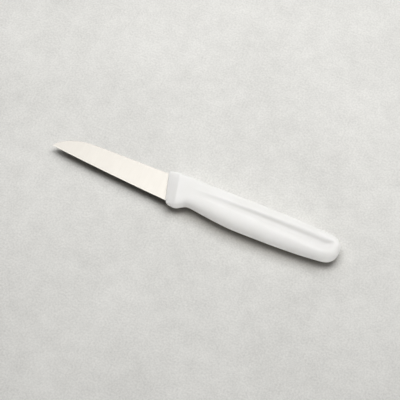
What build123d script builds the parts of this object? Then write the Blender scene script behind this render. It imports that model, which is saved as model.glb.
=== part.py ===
from build123d import *
from math import cos, pi, radians, sin, sqrt, tan
import os

# A paring knife that lies on its side, in millimetres.
# It is drawn in its own plane first: x runs from the point to the butt along the straight spine,
# y runs up towards the spine and is zero on it, z runs out of the side.
# At the end it is moved so that the origin is the middle of the underside of its box.

# Blade
spine_length = 70.8          # point to the handle's front, along the spine
heel_height = 16.3           # spine to edge where the blade leaves the handle
point_drop = 9.7             # how far the point lies below the spine
nose_length = 26.8           # length of the curved back behind the point
edge_bow = 0.38              # how far the edge bows out from a straight line
spine_thickness = 1.3
heel_edge_thickness = 0.30   # steel that the grinding leaves at the edge, by the heel
point_edge_thickness = 0.24  # the same, by the point
sharpened_width = 0.6        # width of the sharpened bevel
sharpened_depth = 0.085      # what sharpening takes off each side of the edge
nose_steer_share = 0.24      # of the nose length, where its curve is steered from
edge_steer_share = 0.40      # of the edge's length, the same

# Tang, the end of the same sheet that the handle hides
tang_length = 58.0
tang_drop = 1.6              # step down from the spine
tang_root_height = 10.4
tang_end_height = 8.0
tang_corner_share = 0.45     # of its end's height
runout_length = 5.0          # over which the ground sides grow back to the full sheet
key_hole_diameter = 4.5      # the handle's plastic fills these holes
key_hole_place_shares = (0.38, 0.72)  # of the tang's length

# Handle, seen from the side
handle_end = 180.3           # point to butt
front_slant = 16.6           # degrees that the front leans back from square
back_rise = 2.3              # the handle's back above the spine
back_droop = 2.0             # how far the back has dropped at the butt
droop_length = 55.3          # up to the butt, over which it drops
front_back_cut = 1.2         # height of the rounded corner where the front meets the back
front_back_length = 2.2
chin_depth = 18.35           # lowest point of the guard below the spine
front_chin_cut = 1.6         # height of the rounded corner where the front meets the guard
front_chin_length = 3.1
corner_roundness = 2.2
chin_length = 9.6            # from the front along the spine's line to where the guard rises
notch_length = 19.2          # the same to the top of the finger notch
notch_depth = 14.5           # top of the finger notch below the spine
notch_blend = 0.4
belly_length = 33.0          # from there to the lowest point of the belly
belly_depth = 17.95
tail_rise = 3.1              # how far the underside has come up at the butt
end_side_length = 8.3        # length of the butt's rounding
end_roundness = 2.3

# Handle, seen from above, as half of it because both sides are alike
front_half = 1.6
band_length = 5.1            # the slanted band behind the front
neck_half = 4.3              # behind the band
swell_half = 6.45            # at the full swell
swell_length = 31.0          # from the band to the full swell
tail_length = 30.3           # up to the butt, over which the handle grows slimmer
tail_loss = 0.5              # how much slimmer each side is at the butt
end_plan_length = 6.6        # length of the butt's rounding
front_squareness = 3.6       # how boxy the sections are at the front
back_squareness = 2.4        # behind it, in the upper half
belly_squareness = 2.9       # and in the lower half
squareness_length = 40.0     # over which one turns into the other

# Thumb groove, alike on both sides
groove_depth = 1.4
groove_drop = 3.3            # the top of its upper wall, below the spine
groove_fall = 0.6            # how much lower it has come by its end
groove_wall_width = 4.6      # the wall is steepest in its upper third
groove_floor_width = 6.0
groove_return_share = 0.95   # of its depth, that the floor comes up again
groove_start_length = 17.2   # from the handle's front to the groove's start
groove_run_in = 78.0
groove_end_gap = 2.3         # between the groove's end and the butt
groove_run_out = 8.0

# Places of the handle's sections along the band, the grip and the butt's rounding, as shares of each,
# and of the points round one side of every section
band_shares = (0, 0.10, 0.22, 0.36, 0.54, 0.76, 1)
grip_shares = (0, 0.015, 0.035, 0.06, 0.085, 0.11, 0.14, 0.175, 0.22, 0.28, 0.36, 0.46, 0.58, 0.70, 0.82,
               0.92, 1)
butt_shares = (0.18, 0.36, 0.52, 0.67, 0.80, 0.91, 0.98, 0.996)
typical_station_share = 0.225
angle_shares = (0, 0.06, 0.12, 0.18, 0.24, 0.30, 0.35, 0.39, 0.42, 0.45, 0.48, 0.52, 0.57, 0.63, 0.70,
                0.77, 0.84, 0.90, 0.95, 1)


def front_line(y):
    """Where the handle's slanted front crosses height y."""
    return spine_length - tan(radians(front_slant)) * y


def limited(share):
    """A share kept between 0 and 1."""
    return min(max(share, 0), 1)


def ease(share):
    """Goes from 0 to 1 with level ends."""
    t = limited(share)
    return t ** 3 * (10 - 15 * t + 6 * t ** 2)


def between(start, end, share):
    """The value at a share of the way from start to end."""
    return start + (end - start) * share


def lower_of(a, b, blend):
    """The lower of two values, rounded where they cross."""
    return (a + b - sqrt((a - b) ** 2 + blend ** 2)) / 2


heel_x = front_line(-heel_height)
front_top_y = back_rise - front_back_cut
front_bottom_y = lower_of(front_chin_cut - chin_depth, -notch_depth, notch_blend)
front_top_x = front_line(front_top_y)
front_bottom_x = front_line(front_bottom_y)
front_middle_x = (front_top_x + front_bottom_x) / 2
chin_end = spine_length + chin_length
notch_place = spine_length + notch_length
belly_place = notch_place + belly_length
groove_start = spine_length + groove_start_length
groove_end = handle_end - groove_end_gap


def corner_loss(distance, length, cut):
    """What a rounded corner takes off the outline at a distance behind it."""
    return cut * (1 - limited(distance / length)) ** corner_roundness


def end_factor(x, length):
    """Shrinks the sections to nothing over the butt's rounding."""
    t = limited((x - handle_end + length) / length)
    return (1 - t ** end_roundness) ** (1 / end_roundness)


def back_height(x):
    """The handle's back, seen from the side."""
    droop = limited((x - handle_end + droop_length) / droop_length)
    corner = corner_loss(x - front_top_x, front_back_length, front_back_cut)
    return back_rise - back_droop * droop ** 2 - corner


def underside_height(x):
    """The handle's underside: guard, finger notch, belly and tail."""
    into_notch = ease((x - chin_end) / (notch_place - chin_end))
    corner = corner_loss(x - front_bottom_x, front_chin_length, front_chin_cut)
    guard = (chin_depth - notch_depth) * into_notch - chin_depth + corner
    onto_belly = limited((x - notch_place) / (belly_place - notch_place))
    tail = limited((x - belly_place) / (handle_end - belly_place))
    belly = (notch_depth - belly_depth) * sin(pi / 2 * onto_belly) - notch_depth + tail_rise * tail ** 3
    return lower_of(guard, belly, notch_blend)


def half_thickness(x, distance):
    """Half the handle's thickness: the slanted band, the neck that swells, the tail and the butt."""
    band = between(front_half, neck_half, limited(distance / band_length))
    swell = sin(pi / 2 * limited((distance - band_length) / swell_length))
    tail = limited((x - handle_end + tail_length) / tail_length)
    full = band + (swell_half - neck_half) * swell - tail_loss * tail ** 2
    return full * end_factor(x, end_plan_length)


def groove_cut(x, y):
    """How deep the thumb groove is: a wall that drops and flattens out, and a floor that rises below it."""
    begun = limited((x - groove_start) / groove_run_in)
    along = sin(pi / 2 * begun) * (1 - ease((x - groove_end + groove_run_out) / groove_run_out))
    below = -groove_drop - groove_fall * begun - y
    wall = limited(below / groove_wall_width)
    wall = wall ** 2 * (6 - 8 * wall + 3 * wall ** 2)
    floor = 1 - groove_return_share * ease((below - groove_wall_width) / groove_floor_width)
    return groove_depth * along * wall * floor


def section_points(station):
    """Points round one side of a section, on a plane that leans less and less towards the butt."""
    top_x = between(front_top_x, handle_end, station)
    bottom_x = between(front_bottom_x, handle_end, station)
    middle_x = (top_x + bottom_x) / 2
    middle_y = (back_height(top_x) + underside_height(bottom_x)) / 2
    full_height = back_height(top_x) - underside_height(bottom_x)
    half_height = full_height / 2 * end_factor(middle_x, end_side_length)
    distance = station * (handle_end - front_middle_x)
    half = half_thickness(middle_x, distance)
    boxiness = 1 - ease(distance / squareness_length)
    points = []
    for share in angle_shares:
        upward = cos(pi * share)
        outward = max(sin(pi * share), 0)
        rear_squareness = back_squareness if upward > 0 else belly_squareness
        power = 2 / between(rear_squareness, front_squareness, boxiness)
        rise = abs(upward) ** power * (1 if upward > 0 else -1)
        x = middle_x + rise * (top_x - bottom_x) / 2
        y = middle_y + rise * half_height
        z = 0 if share in (0, 1) else half * outward ** power - groove_cut(x, y) * outward
        points.append(Vector(x, y, z))
    return points


def lengths_along(points):
    """How far along their polyline each of the points lies."""
    lengths = [0]
    for before, after in zip(points, points[1:]):
        lengths.append(lengths[-1] + (after - before).length)
    return lengths


def section_face(station):
    """One section of the handle; all sections share one spacing, which keeps the surface light."""
    points = section_points(station)
    leaving = (points[1] - points[0]).length / (spacing[1] - spacing[0])
    arriving = (points[-1] - points[-2]).length / (spacing[-1] - spacing[-2])
    across = [(0, 0, leaving), (0, 0, -arriving)]
    near = Edge.make_spline(points, tangents=across, parameters=spacing, scale=False)
    return make_face([near, mirror(near, Plane.XY)])


def handle_body():
    """The handle without its cavity: the band and the grip meet in a crisp corner."""
    length = handle_end - front_middle_x
    band_end = band_length / length
    grip_end = 1 - end_side_length / length
    band = loft([section_face(between(0, band_end, share)) for share in band_shares])
    stations = [between(band_end, grip_end, share) for share in grip_shares]
    stations += [between(grip_end, 1, share) for share in butt_shares]
    return band + loft([section_face(station) for station in stations])


def blade_outline():
    """The blade from the point to the handle's front, seen from the side."""
    point = Vector(0, -point_drop)
    heel = Vector(heel_x, -heel_height)
    nose = Bezier(point, (nose_steer_share * nose_length, 0), (nose_length, 0))
    spine = Line((nose_length, 0), (spine_length, 0))
    front = Line((spine_length, 0), heel)
    steer = point + (heel - point) * edge_steer_share - Vector(0, 2 * edge_bow)
    edge = Bezier(heel, steer, point)
    return make_face([nose, spine, front, edge])


def tang_outline():
    """The tang from the handle's front to its end, seen from the side."""
    root_bottom = -tang_drop - tang_root_height
    end_x = spine_length + tang_length
    end_top = (tang_end_height - tang_root_height) / 2 - tang_drop
    end_bottom = end_top - tang_end_height
    corners = [(front_line(-tang_drop), -tang_drop), (end_x, end_top), (end_x, end_bottom),
               (front_line(root_bottom), root_bottom)]
    return make_face(Polyline(*corners, close=True))


def sheet(outline):
    """A flat outline given the steel's full thickness."""
    return extrude(Pos(0, 0, -spine_thickness / 2) * outline, amount=spine_thickness)


def side_tool(corner_a, corner_b, corner_c):
    """A block that removes all that lies outside the plane through three corners."""
    across = corner_b - corner_a
    plane = Plane(origin=corner_a, x_dir=across, z_dir=across.cross(corner_c - corner_a))
    return extrude(plane * Rectangle(2 * handle_end, 2 * handle_end), amount=handle_end)


def blade():
    """The blade and its tang: ground flat on both sides, sharpened, and holed where the handle grips."""
    root = Vector(spine_length, 0, spine_thickness / 2)
    heel = Vector(heel_x, -heel_height, heel_edge_thickness / 2)
    point = Vector(0, -point_drop, point_edge_thickness / 2)
    side = side_tool(root, point, heel)
    ground = sheet(blade_outline()) - side - mirror(side, Plane.XY)
    edge_face = ground.faces().sort_by(Axis.Y)[0]
    edge_lines = edge_face.edges().sort_by(SortBy.LENGTH)[-2:]
    ground = chamfer(edge_lines, sharpened_depth, sharpened_width, reference=edge_face)
    runout = side_tool(root, heel, Vector(heel_x + runout_length, -heel_height, spine_thickness / 2))
    tang = sheet(tang_outline()) - runout - mirror(runout, Plane.XY)
    tang = fillet(tang.edges().filter_by(Axis.Z).sort_by(Axis.X)[-2:], tang_end_height * tang_corner_share)
    for share in key_hole_place_shares:
        place = Pos(spine_length + tang_length * share, -tang_drop - tang_root_height / 2, 0)
        tang -= place * Cylinder(key_hole_diameter / 2, 2 * spine_thickness)
    return ground + tang


typical_lengths = lengths_along(section_points(typical_station_share))
spacing = [length / typical_lengths[-1] for length in typical_lengths]

blade_part = blade()
handle_part = handle_body() - blade_part

box = Compound([blade_part, handle_part]).bounding_box()
to_origin = Pos(-box.center().X, -box.center().Y, -box.min.Z)

os.makedirs("parts", exist_ok=True)
for name, piece in {"blade": blade_part, "handle": handle_part}.items():
    placed = to_origin * piece
    export_step(placed, f"parts/{name}.step")
    print(name, placed.is_valid, len(placed.solids()), round(placed.volume, 1), placed.bounding_box())
print("moved by", to_origin.position)
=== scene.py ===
import math

import bpy
import numpy as np
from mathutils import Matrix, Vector


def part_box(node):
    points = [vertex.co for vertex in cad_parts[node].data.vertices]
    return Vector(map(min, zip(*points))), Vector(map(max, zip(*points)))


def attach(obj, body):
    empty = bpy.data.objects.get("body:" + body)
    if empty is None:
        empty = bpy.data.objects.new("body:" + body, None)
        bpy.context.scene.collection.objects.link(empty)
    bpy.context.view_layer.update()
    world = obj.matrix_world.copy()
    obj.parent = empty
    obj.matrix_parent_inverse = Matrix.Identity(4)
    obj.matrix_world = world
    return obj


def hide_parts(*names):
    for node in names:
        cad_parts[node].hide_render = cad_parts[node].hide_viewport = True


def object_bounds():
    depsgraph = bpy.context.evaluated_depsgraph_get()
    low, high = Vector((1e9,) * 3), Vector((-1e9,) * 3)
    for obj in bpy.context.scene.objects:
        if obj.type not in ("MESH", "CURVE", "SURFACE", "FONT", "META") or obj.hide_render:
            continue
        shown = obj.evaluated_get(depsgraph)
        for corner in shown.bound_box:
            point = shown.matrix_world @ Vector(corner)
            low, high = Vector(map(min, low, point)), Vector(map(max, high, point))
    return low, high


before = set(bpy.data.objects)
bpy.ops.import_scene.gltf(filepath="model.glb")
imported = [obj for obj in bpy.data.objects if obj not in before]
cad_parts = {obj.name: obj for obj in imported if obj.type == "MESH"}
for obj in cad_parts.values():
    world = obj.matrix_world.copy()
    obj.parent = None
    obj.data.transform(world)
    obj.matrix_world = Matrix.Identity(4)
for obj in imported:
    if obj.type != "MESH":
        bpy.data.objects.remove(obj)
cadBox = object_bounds()

# The knife is worked out in millimetres in its own plane, then placed in the frame: x runs from
# the point to the butt along the spine, y up towards the spine and z out of the upper side.
bladeLow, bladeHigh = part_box("blade")
ownOrigin = np.array([bladeLow[0], bladeHigh[1], (bladeLow[2] + bladeHigh[2]) / 2])
millimetre = 0.001


def placed(x, y, z):
    # Own millimetres times a thousandth, plus the own origin, are metres of the frame.
    return ownOrigin + np.stack(np.broadcast_arrays(x, y, z), axis=-1) * millimetre


def limited(share):
    # Kept between 0 and 1.
    return np.clip(share, 0, 1)


def ease(share):
    # Goes from 0 to 1 with level ends: t cubed times (10 - 15 t + 6 t squared).
    t = limited(share)
    return t ** 3 * (10 - 15 * t + 6 * t ** 2)


def between(start, end, share):
    # A straight run from start to end.
    return start + (end - start) * share


def lowerOf(a, b, blend):
    # The lower of two values, rounded where they cross.
    return (a + b - np.sqrt((a - b) ** 2 + blend ** 2)) / 2


def solidFromRings(name, rings, startPole, endPole):
    # Closed rings one behind the other, joined by four-sided faces, with a fan of triangles to a
    # single point at each end. A ring runs from the spine side over +z, so faces point outwards.
    rows, around = rings.shape[:2]
    points = np.concatenate([rings.reshape(-1, 3), [startPole, endPole]])
    here = np.arange(rows * around).reshape(rows, around)
    onward = np.roll(here, -1, axis=1)
    quads = np.stack([here[:-1], onward[:-1], onward[1:], here[1:]], axis=-1).reshape(-1, 4)
    first, last = rows * around, rows * around + 1
    startFan = np.stack([np.full(around, first), onward[0], here[0]], axis=-1)
    endFan = np.stack([np.full(around, last), here[-1], onward[-1]], axis=-1)
    mesh = bpy.data.meshes.new(name)
    mesh.from_pydata(points.tolist(), [], quads.tolist() + startFan.tolist() + endFan.tolist())
    mesh.shade_smooth()
    piece = bpy.data.objects.new(name, mesh)
    bpy.context.scene.collection.objects.link(piece)
    print(name, "has", len(points), "points and", len(mesh.polygons), "faces")
    return piece


# The handle, in mm and degrees. Places are measured from the blade's point, depths from the
# spine's line. Groove, band and butt are shaped a little more than on the solid, within its box.
handleForm = {
    "frontX": 70.8,             # where the slanted front crosses the spine's line
    "frontSlant": 16.6,         # degrees that the front leans back
    "end": 180.26,
    "backRise": 2.3,            # the back above the spine
    "backDroop": 2.0,           # how far the back has dropped at the butt
    "droopStart": 125.0,
    "backCut": 1.2,             # rounded corner where the front meets the back
    "backCutLength": 2.2,
    "chinDepth": 18.35,         # lowest point of the guard
    "chinCut": 1.6,             # rounded corner where the front meets the guard
    "chinCutLength": 3.1,
    "chinEnd": 80.4,
    "cornerRoundness": 2.2,
    "notchPlace": 90.0,
    "notchDepth": 14.5,         # top of the finger notch
    "notchBlend": 0.4,
    "bellyPlace": 123.0,
    "bellyDepth": 17.95,
    "tailRise": 3.1,            # how far the underside has come up at the butt
    "endSideLength": 8.3,       # length of the butt's rounding, seen from the side
    "endPlanLength": 5.2,       # the same, seen from above
    "endRoundness": 2.3,
    "frontHalf": 1.6,           # half the thickness at the front
    "bandLength": 6.5,          # the slanted band behind the front
    "neckHalf": 4.6,
    "swellHalf": 6.28,
    "swellLength": 36.0,
    "tailStart": 150.0,
    "tailLoss": 0.5,            # how much half the thickness shrinks from there to the butt
    "frontSquareness": 3.6,     # how boxy the sections are at the front
    "backSquareness": 2.4,      # behind it, in the upper half
    "bellySquareness": 2.9,     # and in the lower half
    "squarenessLength": 40.0,
    "grooveStart": 84.0,
    "grooveRunIn": 82.0,
    "grooveEnd": 179.0,
    "grooveDepth": 1.75,
    "grooveDrop": 3.15,         # top of its upper wall
    "grooveStartDrop": 2.2,     # how much lower that lies at the start
    "grooveStartRoundness": 1.5,
    "wallStartWidth": 2.2,      # the groove's upper wall, at the start
    "wallWidth": 5.0,           # and in full; it is steepest in its upper third
    "wallRunOut": 5.0,
    "troughStartWidth": 2.0,    # the groove's floor, at the start
    "troughWidth": 6.0,
    "troughReturn": 0.95,       # share of the depth that it comes up again
    "troughRunOut": 16.0,       # it comes up sooner than the wall ends
    "rimRadius": 0.22,          # the front rim's own small rounding
    "creaseBlend": 0.12,        # how sharp the corner behind the band is
    "creaseReach": 0.48,        # where rings stand closer together, on both sides of it
    "capShares": (0.06, 0.94),  # sizes of the front cap's first and last ring
    "capRings": 7,
    "rimRings": 6,
    "bandRings": 16,
    "creaseRings": 12,
    "gripRings": 178,
    "buttRings": 58,
    "pointsAround": 224,
}


def handleRings(form, length):
    # How far each ring lies behind the front, what is taken off it all round, and its size as a
    # share. The first ones grow evenly, for a flat cap, the next follow a quarter circle over the
    # rim, and those of the butt are spaced by a quarter sine.
    cap, rim = form["capRings"], form["rimRadius"]
    band, crease, butt = form["bandLength"], form["creaseReach"], form["endSideLength"]
    overRim = np.linspace(0, np.pi / 2, form["rimRings"])
    overButt = np.linspace(0, np.pi / 2, form["buttRings"])
    distances = np.concatenate([
        np.zeros(cap),
        rim * (1 - np.cos(overRim)),
        np.linspace(rim, band - crease, form["bandRings"])[1:],
        np.linspace(band - crease, band + crease, form["creaseRings"])[1:],
        np.linspace(band + crease, length - butt, form["gripRings"])[1:],
        length - butt + butt * np.sin(overButt)[1:-1],
    ])
    insets = np.zeros(len(distances))
    insets[:cap] = rim
    insets[cap:cap + len(overRim)] = rim * (1 - np.sin(overRim))
    sizes = np.ones(len(distances))
    sizes[:cap] = np.linspace(*form["capShares"], cap)
    return distances[:, None], insets[:, None], sizes[:, None]


def backLine(form, x, startX):
    # The rise, less a droop that grows with the square of the way to the butt, less a corner at
    # the front that shrinks as (1 - t)^n.
    droop = limited((x - form["droopStart"]) / (form["end"] - form["droopStart"]))
    corner = (1 - limited((x - startX) / form["backCutLength"])) ** form["cornerRoundness"]
    return form["backRise"] - form["backDroop"] * droop ** 2 - form["backCut"] * corner


def undersideLine(form, x, startX):
    # The lower of two lines: the guard, with a corner at the front that shrinks as (1 - t)^n,
    # eases up into the notch, and the grip follows a quarter sine from the notch down to the
    # belly, then rises with the cube of the way to the butt.
    corner = (1 - limited((x - startX) / form["chinCutLength"])) ** form["cornerRoundness"]
    intoNotch = ease((x - form["chinEnd"]) / (form["notchPlace"] - form["chinEnd"]))
    guard = between(-form["chinDepth"], -form["notchDepth"], intoNotch) + form["chinCut"] * corner
    ontoBelly = limited((x - form["notchPlace"]) / (form["bellyPlace"] - form["notchPlace"]))
    swelling = between(-form["notchDepth"], -form["bellyDepth"], np.sin(np.pi / 2 * ontoBelly))
    tail = limited((x - form["bellyPlace"]) / (form["end"] - form["bellyPlace"]))
    return lowerOf(guard, swelling + form["tailRise"] * tail ** 3, form["notchBlend"])


def halfThickness(form, distances, middleX):
    # The lower of the band's even slope and the grip, which swells by a quarter sine, less a
    # loss that grows with the square of the way along the tail.
    band = form["bandLength"]
    bandHalf = between(form["frontHalf"], form["neckHalf"], distances / band)
    swell = np.sin(np.pi / 2 * np.minimum((distances - band) / form["swellLength"], 1))
    gripHalf = between(form["neckHalf"], form["swellHalf"], swell)
    tail = limited((middleX - form["tailStart"]) / (form["end"] - form["tailStart"]))
    return lowerOf(bandHalf, gripHalf, form["creaseBlend"]) - form["tailLoss"] * tail ** 2


def buttShare(form, x, length):
    # Shrinks the sections to nothing over the butt: (1 - t^n)^(1/n).
    t = limited((x - form["end"] + length) / length)
    return (1 - t ** form["endRoundness"]) ** (1 / form["endRoundness"])


def thumbGroove(form, x, y):
    # Across, a wall drops quickly and flattens out, t squared times (6 - 8 t + 3 t squared), and
    # a trough eases most of the way up again. Along, the depth grows by a quarter sine while the
    # groove widens and its top comes up as (1 - t)^n. The trough eases out sooner than the wall.
    begun = limited((x - form["grooveStart"]) / form["grooveRunIn"])
    lower = form["grooveStartDrop"] * (1 - begun) ** form["grooveStartRoundness"]
    below = -form["grooveDrop"] - lower - y
    wallWidth = between(form["wallStartWidth"], form["wallWidth"], begun)
    troughWidth = between(form["troughStartWidth"], form["troughWidth"], begun)
    t = limited(below / wallWidth)
    wall = t ** 2 * (6 - 8 * t + 3 * t ** 2)
    across = wall * (1 - form["troughReturn"] * ease((below - wallWidth) / troughWidth))
    reach = ease(below / (wallWidth + troughWidth))
    runOut = between(form["wallRunOut"], form["troughRunOut"], reach)
    along = np.sin(np.pi / 2 * begun) * (1 - ease((x - form["grooveEnd"] + runOut) / runOut))
    return form["grooveDepth"] * along * across


def handleSurface(form):
    # Superellipse sections on leaning planes: each runs from the back line to the underside line
    # and is as thick as the plan says. The unit superellipse is (cos t, sin t) divided by
    # (|cos t|^n + |sin t|^n)^(1/n).
    slope = math.tan(math.radians(form["frontSlant"]))
    frontTopX = form["frontX"] - slope * (form["backRise"] - form["backCut"])
    frontBottomY = lowerOf(form["chinCut"] - form["chinDepth"], -form["notchDepth"], form["notchBlend"])
    frontBottomX = form["frontX"] - slope * frontBottomY
    frontMiddleX = (frontTopX + frontBottomX) / 2
    length = form["end"] - frontMiddleX

    distances, insets, sizes = handleRings(form, length)
    topX = between(frontTopX, form["end"], distances / length)
    bottomX = between(frontBottomX, form["end"], distances / length)
    middleX = (topX + bottomX) / 2
    backY = backLine(form, topX, frontTopX)
    underY = undersideLine(form, bottomX, frontBottomX)
    middleY = (backY + underY) / 2
    halfHeight = (backY - underY) / 2 * buttShare(form, middleX, form["endSideLength"])
    halfHeight = (halfHeight - insets) * sizes
    half = halfThickness(form, distances, middleX) * buttShare(form, middleX, form["endPlanLength"])
    half = (half - insets) * sizes

    angle = np.arange(form["pointsAround"])[None, :] * 2 * np.pi / form["pointsAround"]
    rearSquareness = np.where(np.cos(angle) > 0, form["backSquareness"], form["bellySquareness"])
    boxiness = 1 - ease(distances / form["squarenessLength"])
    squareness = between(rearSquareness, form["frontSquareness"], boxiness)
    reach = (np.abs(np.cos(angle)) ** squareness + np.abs(np.sin(angle)) ** squareness) ** (1 / squareness)
    rise, outward = np.cos(angle) / reach, np.sin(angle) / reach
    x = middleX + rise * (topX - bottomX) / 2 * sizes
    y = middleY + rise * halfHeight
    groove = thumbGroove(form, x, y) * np.abs(outward) ** (squareness / 2)
    z = half * outward - groove * np.sign(outward)
    startPole = placed(frontMiddleX, middleY[0, 0], 0)
    endPole = placed(form["end"], middleY[-1, 0], 0)
    return placed(x, y, z), startPole, endPole


handlePiece = solidFromRings("handle_moulding", *handleSurface(handleForm))


# The blade with its hidden tang, in mm.
bladeForm = {
    "spineLength": 70.8,        # from the point to the handle
    "heelHeight": 16.3,
    "pointDrop": 9.7,           # how far the point lies below the spine
    "noseLength": 26.8,
    "noseSteerShare": 0.24,     # how far along the nose its curve is steered from
    "edgeBow": 0.38,            # how far the edge bows out
    "edgeSteerShare": 0.40,
    "spineHalf": 0.65,          # half the sheet's thickness
    "heelHalf": 0.15,
    "pointHalf": 0.12,
    "groundRunOut": 5.0,        # where the grinding ends, inside the handle
    "bevelWidth": 0.35,         # the sharpened bevel, drawn narrower than on the solid
    "bevelDepth": 0.05,
    "spineEase": 0.08,          # the spine's corners
    "tangLength": 58.0,
    "tangDrop": 1.6,
    "tangRootHeight": 10.4,
    "tangEndHeight": 8.0,
    "seated": 0.25,             # how far the shoulder sits inside the handle's front
    "pointShares": (0.0015, 0.004, 0.008, 0.014),          # rings, along the blade
    "noseShares": (0.022, 0.42),
    "noseRings": 56,
    "sideRings": 30,
    "tangShares": (0, 0.03, 0.06, 0.10, 0.3, 0.6, 0.9, 0.95, 0.98, 0.995, 1),
    "tangLeanShare": 0.25,      # the part whose rings still lean like the front
    "tangRoundShare": 0.06,     # the rounded end's length, of the tang's
    "tangRoundDepthShare": 0.45,                           # and its depth, of the height
    "easeLimitShare": 0.2,      # of the blade's height, near the point
    "bevelLimitShare": 0.42,
    "flatShares": (0.1, 0.3, 0.5, 0.7, 0.9),               # points, down the ground side
    "bevelShares": (1, 0.5, 0.08, 0),                      # points, from the bevel's top to the edge
    "bevelDepthShares": (0, 0.5, 0.96, 0),
}


def curveShare(x, steerX, endX):
    # Share t along a quadratic curve that starts at 0: x = 2 t (1 - t) steer + t squared end.
    return (np.sqrt(steerX ** 2 + (endX - 2 * steerX) * x) - steerX) / (endX - 2 * steerX)


def bladeLines(form, heelX):
    # Back and edge, ring by ring. The back comes up to the spine along the nose with the square
    # of what is left of it, and the edge is a quadratic curve from the point to the heel.
    share = np.concatenate([
        form["pointShares"],
        np.linspace(*form["noseShares"], form["noseRings"]),
        np.linspace(form["noseShares"][1], 1, form["sideRings"])[1:],
    ])
    topX, bottomX = share * form["spineLength"], share * heelX
    nose, drop, heel = form["noseLength"], form["pointDrop"], form["heelHeight"]
    alongNose = curveShare(np.minimum(topX, nose), form["noseSteerShare"] * nose, nose)
    topY = -drop * (1 - alongNose) ** 2
    alongEdge = curveShare(bottomX, form["edgeSteerShare"] * heelX, heelX)
    steer = between(drop, heel, form["edgeSteerShare"]) + 2 * form["edgeBow"]
    bottomY = -drop * (1 - alongEdge) ** 2 - 2 * alongEdge * (1 - alongEdge) * steer - heel * alongEdge ** 2
    return topX, topY, bottomX, bottomY


def tangLines(form, heelX, slope):
    # The shoulder just inside the handle, then a bar that narrows evenly to a circular end. Its
    # rings lean like the front and ease upright.
    share = np.array(form["tangShares"])
    x = form["spineLength"] + form["seated"] + share * form["tangLength"]
    top = -form["tangDrop"] - (form["tangRootHeight"] - form["tangEndHeight"]) / 2 * share
    bottom = top - between(form["tangRootHeight"], form["tangEndHeight"], share)
    overEnd = limited((share - 1) / form["tangRoundShare"] + 1)
    rounding = form["tangEndHeight"] * form["tangRoundDepthShare"] * (1 - np.sqrt(1 - overEnd ** 2))
    top, bottom = top - rounding, bottom + rounding
    lean = slope * (1 - ease(share / form["tangLeanShare"]))
    topX = np.append(form["spineLength"] + form["seated"], x - lean * top)
    bottomX = np.append(heelX + form["seated"], x - lean * bottom)
    return topX, np.append(0, top), bottomX, np.append(-form["heelHeight"], bottom)


def groundHalf(form, slope, x, y):
    # Half the thickness: it falls evenly from the spine to the edge and towards the point, and
    # comes back to the full sheet inside the handle.
    heelLoss = form["spineHalf"] - form["heelHalf"]
    pointLoss = form["spineHalf"] - heelLoss * form["pointDrop"] / form["heelHeight"] - form["pointHalf"]
    frontX = form["spineLength"] - slope * y
    half = form["spineHalf"] + heelLoss * y / form["heelHeight"]
    half = half - pointLoss * (1 - np.minimum(x / frontX, 1))
    return between(half, form["spineHalf"], limited((x - frontX) / form["groundRunOut"]))


def bladeSurface(form):
    # Leaning rings between back and edge. On one side, each goes from the spine's middle over an
    # eased corner, down the flat ground side and over the bevel to the edge, and comes back as
    # its mirror image. Each point also gets its distance from the edge.
    slope = math.tan(math.radians(handleForm["frontSlant"]))
    heelX = form["spineLength"] + slope * form["heelHeight"]
    ground, tang = bladeLines(form, heelX), tangLines(form, heelX, slope)
    topX, topY, bottomX, bottomY = (np.concatenate(lines)[:, None] for lines in zip(ground, tang))
    onTang = (np.arange(len(topX)) > len(ground[0]))[:, None]
    height = topY - bottomY

    spineEase = np.minimum(form["spineEase"], height * form["easeLimitShare"])
    bevel = np.minimum(form["bevelWidth"], height * form["bevelLimitShare"])
    bevel = np.where(onTang, form["spineEase"], bevel)
    bevelDepth = np.where(onTang, form["spineEase"], form["bevelDepth"])
    flat = height - spineEase - bevel
    nothing = np.zeros_like(height)
    corner = spineEase * (1 - math.sqrt(0.5))              # the middle of a quarter circle
    below = [nothing, nothing, corner, spineEase]
    below += [spineEase + flat * share for share in form["flatShares"]]
    below += [height - bevel * share for share in form["bevelShares"]]
    taken = [nothing, spineEase, corner, nothing] + [nothing] * len(form["flatShares"])
    taken += [bevelDepth * share for share in form["bevelDepthShares"]]
    below, taken = np.concatenate(below, axis=1), np.concatenate(taken, axis=1)
    x = between(topX, bottomX, below / height)
    y = between(topY, bottomY, below / height)
    z = groundHalf(form, slope, x, y) - taken
    z[:, [0, -1]] = 0

    def bothSides(side, sign=1):
        # Out along one side and back along the other, without the two ends once more.
        return np.concatenate([side, sign * side[:, -2:0:-1]], axis=1)

    rings = placed(bothSides(x), bothSides(y), bothSides(z, -1))
    startPole = placed(0, -form["pointDrop"], 0)
    endPole = placed(tang[0][-1], (topY[-1, 0] + bottomY[-1, 0]) / 2, 0)
    return rings, startPole, endPole, bothSides(height - below)


bladeRings, pointPole, tangPole, edgeDistances = bladeSurface(bladeForm)
bladePiece = solidFromRings("blade_steel", bladeRings, pointPole, tangPole)
bladePiece.data.set_sharp_from_angle(angle=math.radians(5))     # ground edges stay crisp
fromEdge = bladePiece.data.attributes.new("fromEdge", "FLOAT", "POINT")
poleDistances = [0, bladeForm["tangEndHeight"]]
fromEdge.data.foreach_set("value", np.append(edgeDistances, poleDistances).astype(np.float32))


def linearColour(hexValue):
    # sRGB hex to the linear colour that a shader takes.
    channels = np.array([int(hexValue[k:k + 2], 16) for k in (0, 2, 4)]) / 255
    linear = np.where(channels <= 0.04045, channels / 12.92, ((channels + 0.055) / 1.055) ** 2.4)
    return (*linear.tolist(), 1.0)


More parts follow.
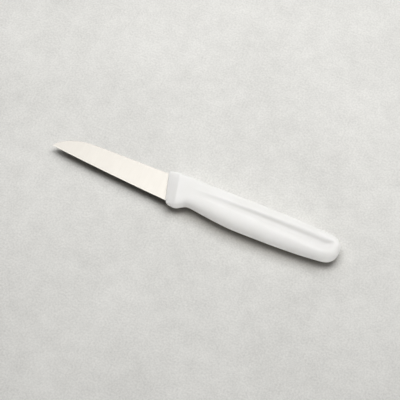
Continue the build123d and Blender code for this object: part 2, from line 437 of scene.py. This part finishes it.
def addNode(tree, kind, inputs=None, **settings):
    # One node: its settings by name, and its inputs by name or place, each a value or a link. A
    # Mix takes its factor at 0, numbers at 2 and 3 and colours at 6 and 7; its colour leaves at 2.
    node = tree.nodes.new(kind)
    for name, value in settings.items():
        setattr(node, name, value)
    for name, value in (inputs or {}).items():
        if isinstance(value, bpy.types.NodeSocket):
            tree.links.new(value, node.inputs[name])
        else:
            node.inputs[name].default_value = value
    return node


def newMaterial(name):
    # An empty material, and the coordinates of the piece that carries it.
    material = bpy.data.materials.new(name)
    material.use_nodes = True
    tree = material.node_tree
    tree.nodes.clear()
    return material, tree, addNode(tree, "ShaderNodeTexCoord").outputs["Object"]


plasticFinish = {
    "white": "ECEBE9",
    "shade": "E9E8E5",          # where handling has dulled it slightly
    "shadeSpan": (0.35, 0.7),   # noise values where the shade starts and is full
    "ior": 1.49,
    "roughness": (0.47, 0.57),  # least and most
    "roughnessSpan": (0.3, 0.7),
    "glow": 0.9,                # share of the light that spreads inside the plastic
    "glowDepth": 2.5,           # mm that it spreads
    "grain": 0.45,              # mm; the mould's texture is nearer 0.1, drawn coarser to show
    "grainHeight": 0.004,       # mm
    "wavePatch": 14.0,          # mm; slow unevenness from the plastic's shrinking
    "waveHeight": 0.02,         # mm
    "partingHalfWidth": 0.12,   # mm; the mould's parting line on the mid-plane
    "partingHeight": 0.02,      # mm
}


def mouldedPolypropylene(finish):
    # White polypropylene, injection-moulded round the tang: satin and opaque, with soft
    # highlights, a fine mould texture and a barely visible parting line along back and underside.
    material, tree, coordinates = newMaterial("moulded_white_polypropylene")
    patches = addNode(tree, "ShaderNodeTexNoise", {
        "Vector": coordinates, "Scale": 1 / (finish["wavePatch"] * millimetre), "Detail": 2.0,
        "Roughness": 0.5})
    grain = addNode(tree, "ShaderNodeTexNoise", {
        "Vector": coordinates, "Scale": 1 / (finish["grain"] * millimetre), "Detail": 2.0,
        "Roughness": 0.6})
    shading = addNode(tree, "ShaderNodeMapRange", {
        "Value": patches.outputs["Fac"], "From Min": finish["shadeSpan"][0],
        "From Max": finish["shadeSpan"][1]})
    colour = addNode(tree, "ShaderNodeMix", {
        0: shading.outputs["Result"], 6: linearColour(finish["white"]),
        7: linearColour(finish["shade"])}, data_type="RGBA")
    roughness = addNode(tree, "ShaderNodeMapRange", {
        "Value": grain.outputs["Fac"], "From Min": finish["roughnessSpan"][0],
        "From Max": finish["roughnessSpan"][1], "To Min": finish["roughness"][0],
        "To Max": finish["roughness"][1]})
    axes = addNode(tree, "ShaderNodeSeparateXYZ", {"Vector": coordinates})
    offMiddle = addNode(tree, "ShaderNodeMath", {
        0: axes.outputs["Z"], 1: float(ownOrigin[2])}, operation="SUBTRACT")
    away = addNode(tree, "ShaderNodeMath", {0: offMiddle.outputs[0]}, operation="ABSOLUTE")
    parting = addNode(tree, "ShaderNodeMapRange", {
        "Value": away.outputs[0], "From Min": 0.0,
        "From Max": finish["partingHalfWidth"] * millimetre, "To Min": 1.0,
        "To Max": 0.0}, interpolation_type="SMOOTHSTEP")
    # Waves, grain and parting line are laid over one another as relief.
    relief = None
    for height, size in (
            (patches.outputs["Fac"], "waveHeight"),
            (grain.outputs["Fac"], "grainHeight"),
            (parting.outputs["Result"], "partingHeight")):
        inputs = {"Height": height, "Strength": 1.0, "Distance": finish[size] * millimetre}
        if relief:
            inputs["Normal"] = relief.outputs["Normal"]
        relief = addNode(tree, "ShaderNodeBump", inputs)
    shader = addNode(tree, "ShaderNodeBsdfPrincipled", {
        "Base Color": colour.outputs[2], "IOR": finish["ior"],
        "Roughness": roughness.outputs["Result"], "Subsurface Weight": finish["glow"],
        "Subsurface Radius": (1.0, 1.0, 1.0), "Subsurface Scale": finish["glowDepth"] * millimetre,
        "Normal": relief.outputs["Normal"]})
    addNode(tree, "ShaderNodeOutputMaterial", {"Surface": shader.outputs["BSDF"]})
    return material


steelFinish = {
    "steel": "9F9C97",
    "steelDark": "9E9B96",
    "darkSpan": (0.35, 0.65),   # noise values where the darker streaks start and are full
    "roughness": (0.49, 0.55),  # least and most
    "roughnessSpan": (0.3, 0.7),
    "bevelRoughness": 0.42,
    "bevelSpan": (0.33, 0.37),  # mm from the edge, where the bevel's own finish ends
    "lineSpacing": 0.35,        # mm; a fine belt's lines are nearer 0.05, drawn coarser to show
    "lineLength": 22.0,         # mm, across the blade
    "lineHeight": 0.0006,       # mm
    "streakSpacing": 2.5,       # mm; slow streaks where the belt bit a little deeper
    "streakLength": 66.0,       # mm
}


def groundStainlessSteel(finish):
    # Stainless blade steel, ground across on a fine belt: a soft, even sheen with faint lines
    # from spine to edge. The sharpened bevel is smoother and shines more.
    material, tree, coordinates = newMaterial("ground_stainless_steel")
    noises = []
    for kind, detail, roughness in (("line", 3.0, 0.6), ("streak", 2.0, 0.5)):
        across = 1 / (finish[kind + "Spacing"] * millimetre)
        along = 1 / (finish[kind + "Length"] * millimetre)
        stretched = addNode(tree, "ShaderNodeMapping", {
            "Vector": coordinates, "Scale": (across, along, across)})
        noises.append(addNode(tree, "ShaderNodeTexNoise", {
            "Vector": stretched.outputs["Vector"], "Scale": 1.0, "Detail": detail,
            "Roughness": roughness}))
    lines, streaks = noises
    darkening = addNode(tree, "ShaderNodeMapRange", {
        "Value": streaks.outputs["Fac"], "From Min": finish["darkSpan"][0],
        "From Max": finish["darkSpan"][1]})
    colour = addNode(tree, "ShaderNodeMix", {
        0: darkening.outputs["Result"], 6: linearColour(finish["steel"]),
        7: linearColour(finish["steelDark"])}, data_type="RGBA")
    lineRoughness = addNode(tree, "ShaderNodeMapRange", {
        "Value": lines.outputs["Fac"], "From Min": finish["roughnessSpan"][0],
        "From Max": finish["roughnessSpan"][1], "To Min": finish["roughness"][0],
        "To Max": finish["roughness"][1]})
    edgeDistance = addNode(tree, "ShaderNodeAttribute", attribute_name="fromEdge")
    onSide = addNode(tree, "ShaderNodeMapRange", {
        "Value": edgeDistance.outputs["Fac"], "From Min": finish["bevelSpan"][0],
        "From Max": finish["bevelSpan"][1]})
    roughness = addNode(tree, "ShaderNodeMix", {
        0: onSide.outputs["Result"], 2: finish["bevelRoughness"],
        3: lineRoughness.outputs["Result"]}, data_type="FLOAT")
    relief = addNode(tree, "ShaderNodeBump", {
        "Height": lines.outputs["Fac"], "Strength": 1.0,
        "Distance": finish["lineHeight"] * millimetre})
    shader = addNode(tree, "ShaderNodeBsdfPrincipled", {
        "Base Color": colour.outputs[2], "Metallic": 1.0, "Roughness": roughness.outputs[0],
        "Normal": relief.outputs["Normal"]})
    addNode(tree, "ShaderNodeOutputMaterial", {"Surface": shader.outputs["BSDF"]})
    return material


handlePiece.data.materials.append(mouldedPolypropylene(plasticFinish))
bladePiece.data.materials.append(groundStainlessSteel(steelFinish))
for piece, slot, node in ((handlePiece, "handle_plastic", "handle"), (bladePiece, "blade_steel", "blade")):
    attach(piece, "root")
    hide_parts(node)
print("handle and blade have their finishes")


surroundings = {
    "shown": 0.86,              # how bright they look, also in reflections
    "colour": "F4F3F0",
}

floorForm = {
    "half": 4000.0,             # mm
    "stone": "EDECE8",
    "stoneDark": "CFCECA",
    "darkSpan": (0.3, 0.7),     # noise values where the darker stone starts and is full
    "roughness": 0.7,
    "cloud": 60.0,              # mm; slow clouds in the stone
    "mottle": 9.0,              # mm
    "mottleShare": 0.5,         # how much it counts beside the cloud
    "grain": 1.1,               # mm; sand grains are nearer 0.5, drawn coarser to show
    "grainShare": 0.45,         # how much it counts beside both
    "grainHeight": 0.02,        # mm
    "paintedShadeStone": "766E65",     # painted shade: the colour the stone is given where the knife hides most of the sky, next to it
    "shadeReach": 12.0,         # mm
    "shadeTurn": (0.4, 0.4, 0.0),                          # it lies away from this side
    "shadeSpan": (0.12, 0.85),  # shares of open sky where it is full and where it ends
    "fadeSpan": (200.0, 340.0),                            # mm from the middle, outside the picture
}


def seenShare(tree):
    # 1 for what the camera sees, also by a reflection or through glass, and 0 for what only lights.
    path = addNode(tree, "ShaderNodeLightPath")
    seen = addNode(tree, "ShaderNodeMath", {
        0: path.outputs["Is Camera Ray"], 1: path.outputs["Is Glossy Ray"]}, operation="MAXIMUM")
    seen = addNode(tree, "ShaderNodeMath", {
        0: seen.outputs[0], 1: path.outputs["Is Transmission Ray"]}, operation="MAXIMUM")
    return seen.outputs[0]


def paleSealedStone(form):
    # Pale stone, cut flat and sealed: matt, with slow clouds, a mottle and a sandy grain, and painted shade
    # that darkens its colour next to the knife.
    material, tree, coordinates = newMaterial("pale_sealed_stone")
    cloud, mottle, grain = (
        addNode(tree, "ShaderNodeTexNoise", {
            "Vector": coordinates, "Scale": 1 / (form[size] * millimetre), "Detail": detail,
            "Roughness": roughness})
        for size, detail, roughness in (("cloud", 3.0, 0.5), ("mottle", 3.0, 0.6), ("grain", 1.0, 0.5)))
    coarse = addNode(tree, "ShaderNodeMix", {
        0: form["mottleShare"], 2: cloud.outputs["Fac"], 3: mottle.outputs["Fac"]})
    unevenness = addNode(tree, "ShaderNodeMix", {
        0: form["grainShare"], 2: coarse.outputs[0], 3: grain.outputs["Fac"]})
    darkening = addNode(tree, "ShaderNodeMapRange", {
        "Value": unevenness.outputs[0], "From Min": form["darkSpan"][0], "From Max": form["darkSpan"][1]})
    stone = addNode(tree, "ShaderNodeMix", {
        0: darkening.outputs["Result"], 6: linearColour(form["stone"]),
        7: linearColour(form["stoneDark"])}, data_type="RGBA")

    # Painted shade: where the knife hides the sky on the light's side, the stone's colour is darkened
    # further, deepening the shadow next to the knife.
    upwards = addNode(tree, "ShaderNodeNewGeometry").outputs["Normal"]
    turned = addNode(tree, "ShaderNodeVectorMath", {0: upwards, 1: form["shadeTurn"]}, operation="ADD")
    lightwards = addNode(tree, "ShaderNodeVectorMath", {0: turned.outputs["Vector"]}, operation="NORMALIZE")
    openSky = addNode(tree, "ShaderNodeAmbientOcclusion", {
        "Distance": form["shadeReach"] * millimetre, "Normal": lightwards.outputs["Vector"]})
    openShare = addNode(tree, "ShaderNodeMapRange", {
        "Value": openSky.outputs["AO"], "From Min": form["shadeSpan"][0], "From Max": form["shadeSpan"][1]})
    # The painted shade is mixed into the stone's colour here.
    colour = addNode(tree, "ShaderNodeMix", {
        0: openShare.outputs["Result"], 6: linearColour(form["paintedShadeStone"]),
        7: stone.outputs[2]}, data_type="RGBA")
    relief = addNode(tree, "ShaderNodeBump", {
        "Height": grain.outputs["Fac"], "Strength": 1.0, "Distance": form["grainHeight"] * millimetre})
    shader = addNode(tree, "ShaderNodeBsdfPrincipled", {
        "Base Color": colour.outputs[2], "Roughness": form["roughness"], "Specular IOR Level": 0.0,
        "Normal": relief.outputs["Normal"]})

    # Far from the knife it turns into the pale surroundings, so that no horizon shows.
    away = addNode(tree, "ShaderNodeVectorMath", {0: coordinates}, operation="LENGTH")
    fade = addNode(tree, "ShaderNodeMapRange", {
        "Value": away.outputs["Value"], "From Min": form["fadeSpan"][0] * millimetre,
        "From Max": form["fadeSpan"][1] * millimetre}, interpolation_type="SMOOTHSTEP")
    faded = addNode(tree, "ShaderNodeMath", {
        0: fade.outputs["Result"], 1: seenShare(tree)}, operation="MULTIPLY")
    pale = addNode(tree, "ShaderNodeEmission", {
        "Color": linearColour(surroundings["colour"]), "Strength": surroundings["shown"]})
    surface = addNode(tree, "ShaderNodeMixShader", {
        0: faded.outputs[0], 1: shader.outputs["BSDF"], 2: pale.outputs["Emission"]})
    addNode(tree, "ShaderNodeOutputMaterial", {"Surface": surface.outputs["Shader"]})
    return material


def plainFloor(form):
    # A flat square at the height of the knife's underside, with one step each way.
    ends = np.array([-form["half"], form["half"]]) * millimetre
    x, y = np.meshgrid(ends, ends)
    points = np.stack([x.ravel(), y.ravel(), np.full(x.size, cadBox[0][2])], axis=-1)
    mesh = bpy.data.meshes.new("floor")
    mesh.from_pydata(points.tolist(), [], [[0, 1, 3, 2]])
    mesh.materials.append(paleSealedStone(form))
    floor = bpy.data.objects.new("floor", mesh)
    bpy.context.scene.collection.objects.link(floor)
    return floor


floor = plainFloor(floorForm)
print("floor laid")

# Soft lamps that face the knife: middle and size in metres, spread in degrees, power in watts.
# The low strips light the knife's sides and hardly the floor.
softboxes = {
    "overhead_softbox": {"middle": (-0.05, 0.13, 0.62), "size": (0.62, 0.25), "spread": 180, "power": 3.28},
    "rear_softbox": {"middle": (0.04, 0.46, 0.59), "size": (0.75, 0.39), "spread": 180, "power": 2.03},
    "front_strip": {"middle": (0.07, -0.55, 0.05), "size": (0.60, 0.055), "spread": 60, "power": 0.18},
    "side_strip": {"middle": (0.55, -0.06, 0.05), "size": (0.40, 0.055), "spread": 60, "power": 0.10},
    "rear_strip": {"middle": (0.02, 0.55, 0.12), "size": (0.60, 0.055), "spread": 60, "power": 0.03},
}

for name, box in softboxes.items():
    lamp = bpy.data.lights.new(name, "AREA")
    lamp.shape = "RECTANGLE"
    lamp.size, lamp.size_y = box["size"]
    lamp.spread = math.radians(box["spread"])
    lamp.energy = box["power"]
    holder = bpy.data.objects.new(name, lamp)
    holder.location = box["middle"]
    holder.rotation_mode = "QUATERNION"
    holder.rotation_quaternion = Vector(box["middle"]).to_track_quat("Z", "Y")
    bpy.context.scene.collection.objects.link(holder)

# The surroundings are seen and reflected, and light nothing else.
world = bpy.data.worlds.new("pale_room")
world.use_nodes = True
worldTree = world.node_tree
worldTree.nodes.clear()
strength = addNode(worldTree, "ShaderNodeMath", {
    0: seenShare(worldTree), 1: surroundings["shown"]}, operation="MULTIPLY")
background = addNode(worldTree, "ShaderNodeBackground", {
    "Color": linearColour(surroundings["colour"]), "Strength": strength.outputs[0]})
addNode(worldTree, "ShaderNodeOutputWorld", {"Surface": background.outputs["Background"]})
bpy.context.scene.world = world
print("soft light set")

view = {
    "azimuth": 23.18407,        # degrees, to the right of square on
    "elevation": 65.0,
    "distance": 1.0,            # metres
    "lens": 156.17,             # mm
    "sensor": 36.0,             # mm
    "looksAt": (95.169, -10.9963, 6.4),                    # mm, the knife's own x, y and z
}

azimuth, elevation = math.radians(view["azimuth"]), math.radians(view["elevation"])
level = math.cos(elevation)
back = Vector((math.sin(azimuth) * level, -math.cos(azimuth) * level, math.sin(elevation)))
camera = bpy.data.objects.new("camera", bpy.data.cameras.new("camera"))
camera.data.sensor_width = view["sensor"]
camera.data.lens = view["lens"]
camera.location = Vector(placed(*view["looksAt"]).tolist()) + back * view["distance"]
camera.rotation_mode = "QUATERNION"
camera.rotation_quaternion = back.to_track_quat("Z", "Y")
bpy.context.scene.collection.objects.link(camera)
bpy.context.scene.camera = camera
bpy.context.scene.view_settings.view_transform = "Standard"
print("camera placed")
